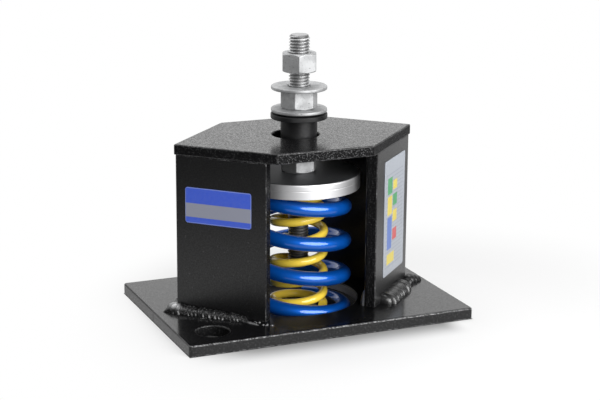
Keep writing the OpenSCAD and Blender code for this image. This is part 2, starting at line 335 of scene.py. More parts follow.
def cut_edge(colours):
    """Thin coat over a rough cut edge: bare glints on its ridges, with a painted highlight that makes them
    brighter on the top plate's front face; gloss on the base; and a pocket wall of bare steel, painted pale
    with painted light.
    """
    finish = new_finish("cut_edge")
    x, y, z = finish.axes()
    ridge = finish.noise(1150, 3, 0.75)
    glint = finish.mask(ridge, 0.55, 0.62)
    high, on_base = on_top_plate(finish, z), z < BASE_TOP
    # painted highlight: glints are brighter on the top plate's front face, where the light falls, than on
    # its other faces
    front = finish.mask(abs(y), TOP_SIDE - 1 * MM, TOP_SIDE - 0.5 * MM)
    seam_low, seam_high = 2.7 * MM, 3.3 * MM
    seam = between(y, seam_low, seam_high) * (x < BASE_LOW.x + 1 * MM)
    # partly painted light: the pocket wall is bare steel, painted far paler to stand in for light that does
    # not reach into the pocket
    outside_pocket = 40 * MM
    bored = (radius_at(x, y) < outside_pocket) * on_base
    # worn holds the bare glints, their painted highlight on the front face and the painted pale pocket wall
    worn = glint * (0.05 - high * (0.01 - front * 0.11)) * (1 - seam) + bored * 0.6
    tone = finish.mix(worn, colours.coat, colours.bare)
    finish.set(Base_Color=tone, Roughness=0.45 - glint * 0.12, Specular_IOR_Level=0.06)
    skin = on_base * (1 - seam) * (0.52 + glint * 0.4)
    finish.set(Coat_Weight=skin, Coat_Roughness=0.28, Coat_IOR=1.6)
    finish.set(Normal=finish.bump(ridge - seam * 2, 0.14 * MM))
    return finish.owner


def bead_coat(colours):
    """Coat over weld metal: thin on the left bead's crests, smooth on the right bead, with a painted glint
    on the tacks inside the right toes and a painted highlight at the left bead's corner.
    """
    finish = new_finish("bead_coat")
    x, y, z = finish.axes()
    right = x > 0
    wall_in, wall_out = 62 * MM, 66 * MM
    outside = finish.mask(abs(x) + abs(y), wall_in, wall_out)
    inside = (1 - outside) * right
    from_leg = (x - y - APEX) * HALF_ROOT
    # painted glint: a bright streak on the tacks inside the right angle's toes, brightest on the front tack
    # next to its leg
    streak = 0.06 + finish.mask(from_leg, -8.5 * MM, -7.5 * MM) * 0.94
    crest = finish.mask(finish.noise(1100, 3, 0.8), 0.56, 0.7) * (0.42 - right * 0.32)
    # painted highlight: a bright patch on the left bead where it rounds the housing's corner, a little
    # above the base
    ridge = finish.mask(0 - x, 71 * MM, 74 * MM) * finish.mask(z, BASE_TOP + 2 * MM, BASE_TOP + 4.5 * MM)
    along = (x - y + APEX) * HALF_ROOT
    spatter = finish.mask(along, 45 * MM, 47 * MM) * (1 - right)
    # bright holds the bare crests and spatter together with the painted glint and the painted highlight
    bright = crest + (inside * streak + ridge + spatter * 0.5) * 0.5
    finish.set(Base_Color=finish.mix(bright, colours.coat, colours.bare))
    finish.set(Roughness=0.36 - bright * 0.2, Metallic=bright * 0.7)
    pad = outside * finish.mask(abs(y), 7 * MM, 9 * MM) * right
    finish.set(Coat_Weight=pad * 0.3, Coat_Roughness=0.32, Coat_IOR=1.9)
    finish.set(Normal=finish.bump(finish.noise(900, 3, 0.6), 0.12 * MM))
    return finish.owner


def enamel(name, paint, dark, middle, metal):
    """Thick glossy enamel with slow waves and a little dust, duller inside the coil but for one streak."""
    finish = new_finish(name)
    x, y, _ = finish.axes()
    x, y = x - STUD_AXIS.x, y - STUD_AXIS.y
    inside = 1 - finish.mask(radius_at(x, y), middle - 1.5 * MM, middle)
    dull = inside * (1 - between(y, x * -0.2, x * 0.33))
    wave = finish.noise(130, 2)
    dust = finish.mask(finish.noise(1200, 1), 0.68, 0.78)
    tone = finish.mix(0.3 * finish.noise(30, 2), paint, dark)
    finish.set(Base_Color=tone, Metallic=metal, Roughness=0.45 + dust * 0.2, Specular_IOR_Level=0.12)
    finish.set(Coat_Weight=(1.0 - dust * 0.4) * (1 - dull * 0.75), Coat_Roughness=0.05, Coat_IOR=1.5)
    finish.set(Normal=finish.bump(wave, 0.12 * MM, 0.5))
    return finish.owner


def zinc_plate(name, colours, shade):
    """Zinc plate with blotches, small pits and fine rubbing marks; shade darkens it."""
    finish = new_finish(name)
    blotch = finish.noise(160, 4, 0.6)
    marks = finish.noise(700, 3, 0.7, (1, 1, 4))
    dull = finish.mask(blotch, 0.35, 0.7)
    pit = finish.mask(finish.noise(900, 2, 0.7), 0.62, 0.7)
    tone = finish.mix(dull * 0.5 + shade, colours.zinc, (0.3, 0.303, 0.306))
    finish.set(Base_Color=finish.mix(pit * 0.6, tone, (0.1, 0.1, 0.1)))
    finish.set(Metallic=1.0, Roughness=0.58 + dull * 0.08 + marks * 0.06)
    finish.set(Normal=finish.bump(marks - pit, 0.04 * MM))
    return finish.owner


def thread_zinc():
    """Zinc on the thread, with painted shade in its roots and painted shade below the springs' top, where
    the springs shade it.
    """
    finish = new_finish("thread_zinc")
    x, y, z = finish.axes()
    from_axis = radius_at(x - STUD_AXIS.x, y - STUD_AXIS.y)
    crest = finish.mask(from_axis, STUD_RADIUS - 0.9 * MM, STUD_RADIUS - 0.1 * MM)
    end_face = finish.mask(z, STUD_HIGH.z - 0.3 * MM, STUD_HIGH.z - 0.1 * MM)
    crest = finish.node("ShaderNodeMath", {"operation": "MAXIMUM"}, {0: crest, 1: end_face * 0.5})
    blotch = finish.noise(400, 3)
    # painted shade: the stud darkens below the springs' top, where the springs around it shade it
    painted_spring_shade = 1 - finish.mask(z, SPRING_TOP - 2 * MM, SPRING_TOP)
    # painted shade: the thread's roots take a dark zinc and its crests a light one; the end face gets half
    # of the crests' tone
    tone = finish.mix(crest * (0.6 + blotch * 0.6), (0.22, 0.22, 0.222), (0.72, 0.725, 0.73))
    tone = finish.mix(painted_spring_shade * 0.7, tone, (0.06, 0.06, 0.062))
    finish.set(Base_Color=tone, Metallic=1.0, Roughness=0.56 - crest * 0.1)
    finish.set(Normal=finish.bump(blotch, 0.04 * MM))
    return finish.owner


def turned_alloy(colours):
    """Turned alloy: fine rings on the face and lines round the rim; painted shade darkens the top face."""
    finish = new_finish("turned_alloy")
    x, y, z = finish.axes()
    from_axis = radius_at(x - STUD_AXIS.x, y - STUD_AXIS.y)
    at = finish.node("ShaderNodeCombineXYZ", None, {0: from_axis, 2: z})
    lines = finish.node("ShaderNodeTexNoise", None, {"Vector": at, "Scale": 1500.0, "Detail": 3.0}, "Fac")
    cloud = finish.noise(60, 2)
    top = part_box("spring_cap")[1].z
    face = finish.mask(z, top - 0.6 * MM, top - 0.1 * MM)
    tone = finish.mix(lines * 0.25, colours.alloy, (0.45, 0.45, 0.46))
    # painted reflection: the top face takes a dark tone that stands in for the shaded underside of the top
    # plate that it mirrors
    finish.set(Base_Color=finish.mix(face, tone, (0.13, 0.133, 0.138)))
    finish.set(Metallic=1.0, Roughness=0.48 + cloud * 0.06 + face * 0.04)
    finish.set(Normal=finish.bump(lines, 0.008 * MM))
    return finish.owner


def moulded_rubber(colours):
    """Matte black rubber with a pale bloom and small nicks."""
    finish = new_finish("moulded_rubber")
    bloom = finish.mask(finish.noise(90, 3), 0.4, 0.75)
    nick = finish.mask(finish.noise(600, 2), 0.68, 0.76)
    finish.set(Base_Color=finish.mix(bloom * 0.3 + nick * 0.4, colours.rubber, (0.05, 0.05, 0.052)))
    finish.set(Roughness=0.42 + bloom * 0.12, Specular_IOR_Level=0.28)
    finish.set(Normal=finish.bump(finish.noise(700, 3), 0.12 * MM))
    return finish.owner


def label_axes(finish, node, along):
    """Shares of a label's length and height, from its housing corner and from its lower edge."""
    low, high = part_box(node)
    centre = (low + high) / 2
    run = (high.x - low.x) / HALF_ROOT
    x, y, z = finish.axes()
    across = ((x - centre.x) * along[0] + (y - centre.y) * along[1]) * (HALF_ROOT / run) + 0.5
    return across, (z - low.z) / (high.z - low.z)


def field(across, up, left, right, low, high):
    """1 inside a rectangle of a label."""
    return between(across, left, right) * between(up, low, high)


def blue_film(colours):
    """Left label: a blue field with a plain grey band."""
    finish = new_finish("blue_film")
    across, up = label_axes(finish, "left_label", (1, -1))
    band = between(up, 0.17, 0.56)
    rim = 1 - field(across, up, 0.012, 0.988, 0.025, 0.975)
    tone = finish.mix(band, colours.film_blue, colours.film_grey)
    tone = finish.mix(rim * 0.6, tone, (0.2, 0.26, 0.55))
    tone = finish.mix(finish.noise(500, 2) * 0.15, tone, (0.2, 0.22, 0.3))
    finish.set(Base_Color=tone, Roughness=0.28 + finish.noise(200, 2) * 0.15)
    return finish.owner


FIELD_GREEN = (0.02, 0.22, 0.06)
FIELD_YELLOW = (0.5, 0.4, 0.03)
FIELD_BLUE = (0.04, 0.1, 0.34)
FIELD_RED = (0.4, 0.03, 0.03)

# Plain colour fields of the right label: left, right, low and high shares, then the colour
PALE_FIELDS = [
    (0.62, 0.84, 0.70, 0.84, FIELD_GREEN),
    (0.38, 0.58, 0.72, 0.80, FIELD_YELLOW),
    (0.62, 0.84, 0.52, 0.68, FIELD_YELLOW),
    (0.38, 0.58, 0.58, 0.68, FIELD_GREEN),
    (0.62, 0.84, 0.22, 0.50, FIELD_BLUE),
    (0.38, 0.58, 0.44, 0.54, FIELD_YELLOW),
    (0.38, 0.58, 0.28, 0.38, FIELD_RED),
    (0.48, 0.84, 0.09, 0.18, FIELD_YELLOW),
]


def pale_film(colours):
    """Right label: a pale ground with plain colour fields and faint rules."""
    finish = new_finish("pale_film")
    across, up = label_axes(finish, "right_label", (-1, -1))
    rows = finish.node("ShaderNodeMath", {"operation": "FRACT"}, {0: up * 30})
    rules = (rows < 0.22) * field(across, up, 0.08, 0.92, 0.05, 0.88)
    tone = finish.mix(rules * 0.5, colours.film_pale, (0.12, 0.13, 0.17))
    for left, right, low, high, paint in PALE_FIELDS:
        tone = finish.mix(field(across, up, left, right, low, high), tone, paint)
    tone = finish.mix(finish.noise(400, 2) * 0.2, tone, (0.35, 0.36, 0.4))
    finish.set(Base_Color=tone, Roughness=0.3 + finish.noise(200, 2) * 0.15)
    return finish.owner


def settings_of(context):
    """The sizes and the colours that the operators work with."""
    return context.scene.isolator_sizes, context.scene.isolator_colours


def deselect():
    """Selects nothing."""
    bpy.ops.object.select_all(action="DESELECT")


def select_only(piece):
    """Selects one object and nothing else."""
    deselect()
    piece.select_set(True)
    bpy.context.view_layer.objects.active = piece


def name_new(name):
    """Names the object that a primitive operator has just added."""
    piece = bpy.context.active_object
    piece.name = name
    piece.data.name = name
    return piece


def shape(piece, kind, **settings):
    """Adds one modifier with these settings and applies it."""
    select_only(piece)
    modifier = piece.modifiers.new(kind.title(), kind)
    for key, value in settings.items():
        setattr(modifier, key, value)
    bpy.ops.object.modifier_apply(modifier=modifier.name)


def bevel(piece, edge, degrees=40, **settings):
    """Rounds the edges that are sharper than this angle."""
    limit = math.radians(degrees)
    shape(piece, "BEVEL", width=edge, segments=3, limit_method="ANGLE", angle_limit=limit, **settings)


def cover(piece, material):
    """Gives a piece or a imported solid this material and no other."""
    piece.data.materials.clear()
    piece.data.materials.append(material)


def open_mesh(piece):
    """Opens a piece in edit mode with all of it selected."""
    select_only(piece)
    bpy.ops.object.mode_set(mode="EDIT")
    bpy.ops.mesh.select_all(action="SELECT")


def close_mesh():
    """Goes back to object mode."""
    bpy.ops.object.mode_set(mode="OBJECT")


def settle(piece):
    """Puts a piece's place into its mesh, so that its object sits at the origin."""
    select_only(piece)
    bpy.ops.object.transform_apply(location=True, rotation=True, scale=True)


def tidy_mesh(piece):
    """Merges doubles and points the faces outwards."""
    open_mesh(piece)
    bpy.ops.mesh.remove_doubles(threshold=SAME_PLACE)
    bpy.ops.mesh.normals_make_consistent(inside=False)
    close_mesh()


def smooth(piece, degrees=35):
    """Smooth shading that keeps edges sharper than this angle."""
    select_only(piece)
    bpy.ops.object.shade_smooth_by_angle(angle=math.radians(degrees))


def smooth_round_flats(piece, degrees=35):
    """Smooth shading of rounded edges that leaves large flat faces flat."""
    smooth(piece, degrees)
    shape(piece, "WEIGHTED_NORMAL", mode="FACE_AREA", weight=100, keep_sharp=True)


def cut_flat(piece, level, below):
    """Cuts off what lies below or above a level, and closes the cut."""
    open_mesh(piece)
    bpy.ops.mesh.bisect(
        plane_co=(0, 0, level), plane_no=(0, 0, 1), use_fill=True,
        clear_inner=below, clear_outer=not below, threshold=SAME_PLACE,
    )
    close_mesh()


def finish_piece(piece, body, slot, nodes, *materials):
    """Gives a piece its materials and body and hides the nodes that it stands for; slot is not used."""
    slots = piece.data.materials
    for index, material in enumerate(materials):
        if index < len(slots):
            slots[index] = material
        else:
            slots.append(material)
    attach(piece, body)
    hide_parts(*nodes)


def draw_outline(name, points):
    """Draws an outline in the XZ plane: one vertex, extruded from point to point."""
    deselect()
    bpy.ops.mesh.primitive_plane_add(size=MM)
    piece = name_new(name)
    open_mesh(piece)
    bpy.ops.mesh.merge(type="CENTER")
    places = [Vector((r, 0, z)) for r, z in points]
    bpy.ops.transform.translate(value=places[0])
    for here, there in zip(places, places[1:]):
        bpy.ops.mesh.extrude_region_move(TRANSFORM_OT_translate={"value": there - here})
    close_mesh()
    return piece


def turn_round(piece, steps, angle=2 * math.pi, rise=0.0, rounds=1):
    """Turns an outline about Z, with a rise if it is to be a screw."""
    shape(
        piece, "SCREW", axis="Z", angle=angle, screw_offset=rise, iterations=rounds,
        steps=steps, render_steps=steps, use_merge_vertices=True, merge_threshold=SAME_PLACE,
        use_normal_calculate=True,
    )


def turned_piece(name, points, edge, steps=96):
    """A closed outline turned about the stud's axis, with rounded edges."""
    piece = draw_outline(name, [*points, points[0]])
    turn_round(piece, steps)
    piece.location = (STUD_AXIS.x, STUD_AXIS.y, 0)
    settle(piece)
    tidy_mesh(piece)
    bevel(piece, edge)
    smooth_round_flats(piece)
    return piece


def solid_copy(name, node):
    """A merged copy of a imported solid, with flat faces joined."""
    piece = bpy.data.objects.new(name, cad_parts[node].data.copy())
    piece.data.name = name
    bpy.context.scene.collection.objects.link(piece)
    tidy_mesh(piece)
    open_mesh(piece)
    bpy.ops.mesh.dissolve_limited(angle_limit=math.radians(0.5))
    close_mesh()
    return piece


def plate_side(normal, centre):
    """True for the upright sides of a plate."""
    return abs(normal.z) < 0.5


def leg_toe(normal, centre):
    """True for the end faces of an angle section's legs."""
    return abs(normal.z) < 0.5 and normal.x * centre.x < 0 and normal.y * centre.y > 0


def rounded(piece, edge, is_cut):
    """Rounds a plate's edges, which take the second material; the faces that were cut take the third."""
    piece.data.materials.clear()
    for _ in range(3):
        piece.data.materials.append(None)
    for face in piece.data.polygons:
        face.material_index = 2 if is_cut(face.normal, face.center) else 0
    bevel(piece, edge, use_clamp_overlap=False, material=1)
    smooth_round_flats(piece)


def round_bar(name, radius, low, high):
    """A plain upright cylinder about the housing's axis."""
    deselect()
    bpy.ops.mesh.primitive_cylinder_add(
        vertices=128, radius=radius, depth=high - low, location=(0, 0, (low + high) / 2)
    )
    piece = name_new(name)
    settle(piece)
    return piece


class ISOLATOR_OT_housing(bpy.types.Operator):
    """Finishes the base plate, its pocket, the angle sections and the top plate"""

    bl_idname = "isolator.housing"
    bl_label = "Finish the housing"

    def base(self, sizes):
        """The base plate with the round pocket cut through it."""
        piece = solid_copy("base", "base_plate")
        cutter = round_bar("pocket_cutter", sizes.pocket_radius, -BASE_TOP, 2 * BASE_TOP)
        shape(piece, "BOOLEAN", operation="DIFFERENCE", object=cutter, solver="EXACT")
        bpy.data.objects.remove(cutter)
        return piece

    def pocket_floor(self, sizes):
        """The disc that closes the pocket from below."""
        room = 0.05 * MM
        return round_bar("pocket_floor", sizes.pocket_radius - room, 0, POCKET_FLOOR)

    def execute(self, context):
        sizes, colours = settings_of(context)
        coat = powder_coat("powder_coat", colours, 0.16, 1.68)
        leg_coat = powder_coat("leg_coat", colours, 0.3, 1.54)
        worn, cut = worn_edge(colours), cut_edge(colours)
        plates = [
            (self.base(sizes), "base_plate", sizes.plate_edge, plate_side, coat),
            (solid_copy("top", "top_plate"), "top_plate", sizes.plate_edge, plate_side, coat),
            (solid_copy("left_side", "left_angle"), "left_angle", sizes.leg_edge, leg_toe, leg_coat),
            (solid_copy("right_side", "right_angle"), "right_angle", sizes.leg_edge, leg_toe, leg_coat),
            (self.pocket_floor(sizes), "pocket_disc", sizes.metal_edge, plate_side, coat),
        ]
        for piece, node, edge, is_cut, skin in plates:
            rounded(piece, edge, is_cut)
            finish_piece(piece, HOUSING, "powder_coat", [node], skin, worn, cut)
        for node in ("left_top_weld", "right_top_weld"):
            cover(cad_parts[node], coat)
        return {"FINISHED"}


# Drops that end a bead at the housing's corner: distance and radius as shares of the bead's reach
ROUGH_POINT = [(0.2, 0.75), (0.5, 0.56), (0.8, 0.38), (1.05, 0.22), (1.25, 0.1)]
SMOOTH_POINT = [(0.35, 0.6), (0.7, 0.5), (1.05, 0.36)]

# How one weld bead is laid; rough is 1 for a spattered bead and 0 for a smooth one
Bead = namedtuple("Bead", "name node side rough pitch reach scale point")


class ISOLATOR_OT_welds(bpy.types.Operator):
    """Lays a rippled weld bead round the foot of each angle section"""

    bl_idname = "isolator.welds"
    bl_label = "Lay the weld beads"

    def drop(self, centre, radius, scale, along, lean):
        """One drop of weld metal, leaning along the bead."""
        bpy.ops.mesh.primitive_ico_sphere_add(subdivisions=3, radius=radius, location=centre)
        piece = bpy.context.active_object
        piece.rotation_euler = (0, -lean, math.atan2(along.y, along.x))
        piece.scale = scale
        return piece

    def leg_drops(self, bead, apex, along, out, sizes, chance):
        """Drops along one leg, small near the corner of a smooth bead, and the drop that ends them."""
        rough, pitch, reach = bead.rough, bead.pitch, bead.reach
        count = round(sizes.bead_run / pitch)
        small_to = 0 if rough else 13 * MM
        drops = []
        for index in range(count + 1):
            size = reach * (1.0 - rough * (0.1 + 0.3 * index / count + chance.uniform(-0.08, 0.12)))
            size *= chance.uniform(0.95, 1.03)
            step = (index + (0.15 + rough * 0.15) * chance.uniform(-1, 1)) * pitch
            if step < small_to:
                size *= 0.5
            centre = apex + along * step + out * (reach * 0.2)
            lean = math.radians(10 + rough * chance.uniform(12, 24))
            drops.append(self.drop(centre, size, bead.scale, along, lean))
        tail = (along + out * (0.25 * rough)).normalized()
        centre = apex + along * (sizes.bead_run + 4 * MM * rough) + out * (reach * 0.7 * rough)
        end_size, end_scale = (0.2, (5.5, 0.6, 0.6)) if rough else (0.9, (0.4, 1, 0.7))
        drops.append(self.drop(centre, reach * end_size, end_scale, tail, 0))
        return drops

    def toe_tack(self, apex, along, out, tall, sizes, chance):
        """The short weld inside the toe of one leg."""
        end = sizes.leg_length - 3 * MM
        drops = []
        for index in range(round(sizes.tack_run / sizes.bead_pitch)):
            centre = apex + along * (end - index * sizes.bead_pitch) - out * sizes.leg_wall
            size = sizes.tack_leg * chance.uniform(0.75, 0.9)
            drops.append(self.drop(centre, size, (0.5, 0.8, tall), along, 0))
        return drops

    def spatter(self, bead, apex, along, out, sizes, chance):
        """Small drops beside and past one leg of a rough bead."""
        drops = []
        for _ in range(round(36 * bead.rough)):
            step = chance.uniform(0.4, 1.5) * sizes.bead_run
            if step < sizes.bead_run:
                away = chance.uniform(0.7, 1.5) * bead.reach
            else:
                away = chance.uniform(0, 5) * MM
            size = chance.uniform(0.3, 0.75) * MM
            drops.append(self.drop(apex + along * step + out * away, size, (1, 1, 1), along, 0))
        return drops

    def lay(self, bead, sizes, chance):
        """One bead: drops along both legs, a tack inside each toe and spatter, fused together."""
        apex = Vector((bead.side * APEX, 0, BASE_TOP))
        drops = []
        for leg in (-1, 1):
            along = Vector((-bead.side * HALF_ROOT, leg * HALF_ROOT, 0))
            out = Vector((bead.side * HALF_ROOT, leg * HALF_ROOT, 0))
            tall = 2.6 if bead.side > leg else 1
            drops += self.leg_drops(bead, apex, along, out, sizes, chance)
            drops += self.toe_tack(apex, along, out, tall, sizes, chance)
            drops += self.spatter(bead, apex, along, out, sizes, chance)
        outward = Vector((bead.side, 0, 0))
        for away, size in bead.point:
            centre = apex + outward * (bead.reach * away)
            drops.append(self.drop(centre, bead.reach * size, (1, 1, 1), outward, 0))
        deselect()
        for drop in drops:
            drop.select_set(True)
        bpy.context.view_layer.objects.active = drops[0]
        bpy.ops.object.join()
        piece = name_new(bead.name)
        settle(piece)
        shape(piece, "REMESH", mode="VOXEL", voxel_size=0.35 * MM)
        shape(piece, "SMOOTH", factor=0.5, iterations=3)
        cut_flat(piece, BASE_TOP - 0.5 * MM, True)
        smooth(piece, 60)
        return piece

    def execute(self, context):
        sizes, colours = settings_of(context)
        chance = random.Random(11)
        coat = bead_coat(colours)
        pitch, reach = sizes.bead_pitch, sizes.bead_leg
        left_drop, right_drop = (0.3, 1, 0.88), (0.26, 1, 0.78)
        beads = [
            Bead("left_bead", "left_weld", -1, 1.0, pitch * 0.7, reach, left_drop, ROUGH_POINT),
            Bead("right_bead", "right_weld", 1, 0.0, pitch * 1.2, reach * 1.2, right_drop, SMOOTH_POINT),
        ]
        for bead in beads:
            piece = self.lay(bead, sizes, chance)
            finish_piece(piece, HOUSING, "powder_coat", [bead.node], coat)
        return {"FINISHED"}


class ISOLATOR_OT_labels(bpy.types.Operator):
    """Gives the labels their films"""

    bl_idname = "isolator.labels"
    bl_label = "Finish the labels"

    def execute(self, context):
        _, colours = settings_of(context)
        for node, film in (("left_label", blue_film(colours)), ("right_label", pale_film(colours))):
            cover(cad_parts[node], film)
        return {"FINISHED"}


class ISOLATOR_OT_springs(bpy.types.Operator):
    """Winds the outer and the inner spring"""

    bl_idname = "isolator.springs"
    bl_label = "Wind the springs"

    def wind(self, name, wire, outside, pitch, hand, start, ease, tip, seats):
        """One spring: a wire circle screwed up to its seats, its ends eased and ground flat."""
        sides, rings_per_turn = 32, 96
        low = seats[0] + tip - wire / 2
        high = seats[1] - tip + wire / 2
        turns = (high - low) / pitch + ease
        steps = math.ceil(turns * rings_per_turn)
        deselect()
        middle = (outside - wire) / 2
        bpy.ops.mesh.primitive_circle_add(
            vertices=sides, radius=wire / 2, location=(middle, 0, 0), rotation=(math.pi / 2, 0, 0)
        )
        piece = name_new(name)
        settle(piece)
        turn_round(piece, steps, hand * 2 * math.pi * turns, pitch * turns)
        for index, vertex in enumerate(piece.data.vertices):
            at = turns * (index // sides) / steps
            vertex.co.z += self.rise(at, turns, pitch, ease) - pitch * at
        piece.rotation_euler.z = start
        piece.location = (STUD_AXIS.x, STUD_AXIS.y, low)
        settle(piece)
        open_mesh(piece)
        bpy.ops.mesh.fill_holes(sides=0)
        close_mesh()
        cut_flat(piece, seats[0], True)
        cut_flat(piece, seats[1], False)
        tidy_mesh(piece)
        smooth(piece, 40)
        return piece

    def rise(self, at, turns, pitch, ease):
        """Height of the wire after so many turns, with both ends easing to flat."""
        if at < ease:
            return pitch * at * at / (2 * ease)
        if at > turns - ease:
            return pitch * (turns - ease) - pitch * (turns - at) ** 2 / (2 * ease)
        return pitch * (at - ease / 2)

    def execute(self, context):
        sizes, colours = settings_of(context)
        outer = self.wind(
            "outer_coil", sizes.outer_wire, sizes.outer_outside, sizes.outer_pitch, -1, sizes.outer_start,
            sizes.outer_ease, sizes.outer_wire / 4, (POCKET_FLOOR, SPRING_TOP),
        )
        inner = self.wind(
            "inner_coil", sizes.inner_wire, sizes.inner_outside, sizes.inner_pitch, 1, sizes.inner_start,
            sizes.inner_ease, sizes.inner_wire * 2 / 3, (POCKET_FLOOR, INNER_TOP),
        )
        outer_middle = (sizes.outer_outside - sizes.outer_wire) / 2
        inner_middle = (sizes.inner_outside - sizes.inner_wire) / 2
        blue = enamel("blue_enamel", colours.blue, (0.001, 0.055, 0.29), outer_middle, 0.55)
        yellow = enamel("yellow_enamel", colours.yellow, (0.8, 0.52, 0.025), inner_middle, 0.0)
        coils = [
            (outer, "outer_spring", "blue_enamel", blue),
            (inner, "inner_spring", "yellow_enamel", yellow),
        ]
        for piece, node, slot, film in coils:
            cover(piece, film)
            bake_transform(piece)
            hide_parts(node)
        return {"FINISHED"}


class ISOLATOR_OT_stud(bpy.types.Operator):
    """Cuts the threaded stud"""

    bl_idname = "isolator.stud"
    bl_label = "Cut the stud"

    def execute(self, context):
        sizes, _ = settings_of(context)
        pitch, crest = sizes.thread_pitch, STUD_RADIUS
        root = crest - 0.48 * pitch
        low, high = STUD_LOW.z, STUD_HIGH.z
        rounds = math.ceil((high - low) / pitch) + 2
        outline = [
            (root, 0), (root, pitch / 4), (crest, pitch * 9 / 16), (crest, pitch * 11 / 16), (root, pitch)
        ]
        piece = draw_outline("threaded_stud", outline)
        turn_round(piece, 48, rise=pitch, rounds=rounds)
        piece.location = (STUD_AXIS.x, STUD_AXIS.y, low - pitch)
        settle(piece)
        cut_flat(piece, low, True)
        cut_flat(piece, high, False)
        for vertex in piece.data.vertices:
            arm = Vector((vertex.co.x - STUD_AXIS.x, vertex.co.y - STUD_AXIS.y))
            end = min(vertex.co.z - low, high - vertex.co.z)
            limit = crest - max(0.0, sizes.stud_chamfer - end)
            if arm.length > limit:
                arm *= limit / arm.length
                vertex.co.x = STUD_AXIS.x + arm.x
                vertex.co.y = STUD_AXIS.y + arm.y
        tidy_mesh(piece)
        smooth(piece, 30)
        finish_piece(piece, SPRUNG, "zinc", ["stud"], thread_zinc())
        return {"FINISHED"}


class ISOLATOR_OT_nuts(bpy.types.Operator):
    """Makes the three hexagon nuts"""

    bl_idname = "isolator.nuts"
    bl_label = "Make the nuts"

    def forge(self, name, node, sizes):
        """One nut: a turned blank whose outer wall is drawn to a hexagon, turned as its solid is."""
        low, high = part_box(node)
        bottom, top = low.z, high.z
        bore = STUD_RADIUS
        flat = sizes.nut_flats / 2
        corner = flat / math.cos(math.radians(30))
        shoulder = flat - sizes.nut_shoulder
        sink = sizes.nut_sink
        points = [
            (bore, bottom + sink), (bore + sink, bottom), (shoulder, bottom), (corner, bottom + sink),
            (corner, top - sink), (shoulder, top), (bore + sink, top), (bore, top - sink),
        ]
        piece = draw_outline(name, [*points, points[0]])
        turn_round(piece, 96)
        tidy_mesh(piece)
        for vertex in piece.data.vertices:
            arm = Vector((vertex.co.x, vertex.co.y))
            if arm.length < (shoulder + corner) / 2:
                continue
            past = math.atan2(arm.y, arm.x) % math.radians(60) - math.radians(30)
            wall = flat / math.cos(past)
            arm *= wall / arm.length
            drop = (wall - shoulder) * math.tan(math.radians(30))
            height = top - drop if vertex.co.z > (bottom + top) / 2 else bottom + drop
            vertex.co = (arm.x, arm.y, height)
        piece.rotation_euler.z = self.turn_of(node)
        piece.location = (STUD_AXIS.x, STUD_AXIS.y, 0)
        settle(piece)
        bevel(piece, sizes.metal_edge, 35, use_clamp_overlap=False)
        smooth_round_flats(piece, 30)
        return piece

    def turn_of(self, node):
        """How far a nut's solid is turned about the stud, from one of its corners."""
        arms = [v.co.xy - STUD_AXIS.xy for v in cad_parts[node].data.vertices]
        tip = max(arms, key=lambda arm: arm.length)
        return math.atan2(tip.y, tip.x) % math.radians(60)

    def execute(self, context):
        sizes, colours = settings_of(context)
        plate = zinc_plate("zinc", colours, 0)
        for node, body in (("lock_nut", SPRUNG), ("lower_nut", SPRUNG), ("upper_nut", CLAMP)):
            piece = self.forge(node + "_hex", node, sizes)
            finish_piece(piece, body, "zinc", [node], plate)
        return {"FINISHED"}


class ISOLATOR_OT_turned(bpy.types.Operator):
    """Turns the washers, the rubber bush and the spring cap"""

    bl_idname = "isolator.turned"
    bl_label = "Turn the round pieces"

    def execute(self, context):
        sizes, colours = settings_of(context)
        plate = zinc_plate("washer_zinc", colours, 0.05)
        for node in ("lower_washer", "upper_washer"):
            low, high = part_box(node)
            outside = (high.x - low.x) / 2
            hole = STUD_RADIUS + sizes.washer_room
            points = [(hole, low.z), (outside, low.z), (outside, high.z), (hole, high.z)]
            piece = turned_piece(node + "_ring", points, sizes.washer_edge)
            finish_piece(piece, SPRUNG, "zinc", [node], plate)
        self.bush(sizes, colours)
        self.cap(sizes, colours)
        return {"FINISHED"}

    def bush(self, sizes, colours):
        """The flanged bush: body, flange and collar."""
        low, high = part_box("rubber_bush")
        flange = (high.x - low.x) / 2
        body, collar, bore = sizes.bush_body, sizes.bush_collar, STUD_RADIUS
        collar_low, flange_low = high.z - sizes.collar_depth, high.z - sizes.flange_depth
        points = [
            (bore, low.z), (body, low.z), (body, flange_low), (flange, flange_low), (flange, collar_low),
            (collar, collar_low), (collar, high.z), (bore, high.z),
        ]
        piece = turned_piece("bush", points, sizes.bush_edge)
        finish_piece(piece, SPRUNG, "rubber", ["rubber_bush"], moulded_rubber(colours))

    def cap(self, sizes, colours):
        """The spring cap: rim with a fine groove and a soft upper edge, step and spigot."""
        low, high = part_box("spring_cap")
        rim, bore = (high.x - low.x) / 2, STUD_RADIUS
        under, step_low = SPRING_TOP, INNER_TOP
        step = sizes.outer_outside / 2 - sizes.outer_wire - sizes.spring_room
        spigot = sizes.inner_outside / 2 - sizes.inner_wire - sizes.spring_room
        groove, depth = under + sizes.groove_level, sizes.groove_depth
        soft = sizes.cap_round
        turns = [math.radians(angle) for angle in (0, 22.5, 45, 67.5, 90)]
        edge = [(rim - soft + soft * math.cos(at), high.z - soft + soft * math.sin(at)) for at in turns]
        points = [
            (bore, low.z), (spigot, low.z), (spigot, step_low), (step, step_low), (step, under),
            (rim, under), (rim, groove - depth), (rim - depth, groove), (rim, groove + depth),
            *edge, (bore, high.z),
        ]
        piece = turned_piece("cap", points, sizes.cap_edge, 160)
        finish_piece(piece, SPRUNG, "cap_metal", ["spring_cap"], turned_alloy(colours))


